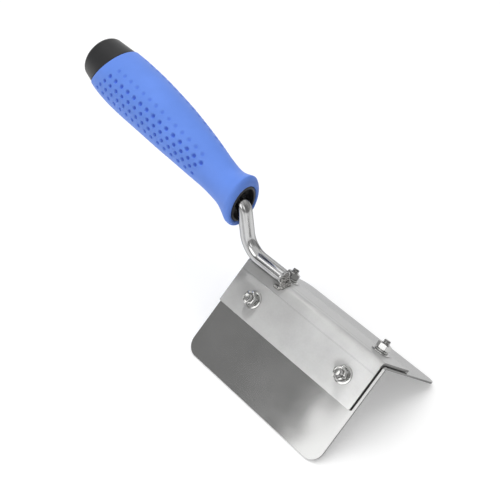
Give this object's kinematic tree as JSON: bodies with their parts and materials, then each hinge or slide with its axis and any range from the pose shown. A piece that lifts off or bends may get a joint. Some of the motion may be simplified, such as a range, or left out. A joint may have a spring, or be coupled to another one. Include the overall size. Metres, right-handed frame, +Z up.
{
  "type": "corner trowel",
  "caption": "Hand corner trowel with a right-angle folded stainless blade bolted under a folded bracket, a bent steel shank and a soft-grip handle, for finishing drywall and plaster corners.",
  "frame": {"origin": "centre of the bounding box's bottom face, on the floor plane the blade's two long edges stand on", "axes": "+X along the blade's ridge towards its free end, away from the handle; +Z up; the tool is symmetric about the plane Y = 0, and the right-hand leaf is on the -Y side as seen from the handle"},
  "size_m": [0.2394, 0.0872, 0.1143],
  "materials": {
    "brushed_stainless": "rolled stainless sheet with fine lengthwise brushing",
    "bracket_stainless": "rolled stainless sheet, satin",
    "rod_steel": "bright drawn round bar",
    "weld_metal": "bare weld metal, slightly rippled",
    "fastener_steel": "bright machine-made fasteners",
    "blue_rubber": "satin soft-touch moulding with rows of dimples",
    "black_plastic": "hard moulding, satin"
  },
  "bodies": {
    "root": {"blade": "brushed_stainless", "backing_bracket": "bracket_stainless", "weld_stud_rear_right": "fastener_steel", "weld_stud_front_right": "fastener_steel", "weld_stud_rear_left": "fastener_steel", "weld_stud_front_left": "fastener_steel", "flat_washer_rear_right": "fastener_steel", "flat_washer_front_right": "fastener_steel", "flat_washer_rear_left": "fastener_steel", "flat_washer_front_left": "fastener_steel", "spring_washer_rear_right": "fastener_steel", "spring_washer_front_right": "fastener_steel", "spring_washer_rear_left": "fastener_steel", "spring_washer_front_left": "fastener_steel", "hex_nut_rear_right": "fastener_steel", "hex_nut_front_right": "fastener_steel", "hex_nut_rear_left": "fastener_steel", "hex_nut_front_left": "fastener_steel", "shank_rod": "rod_steel", "weld_bead": "weld_metal", "handle_core": "black_plastic", "grip_sleeve": "blue_rubber", "butt_cap": "black_plastic"}
  },
  "joints": []
}
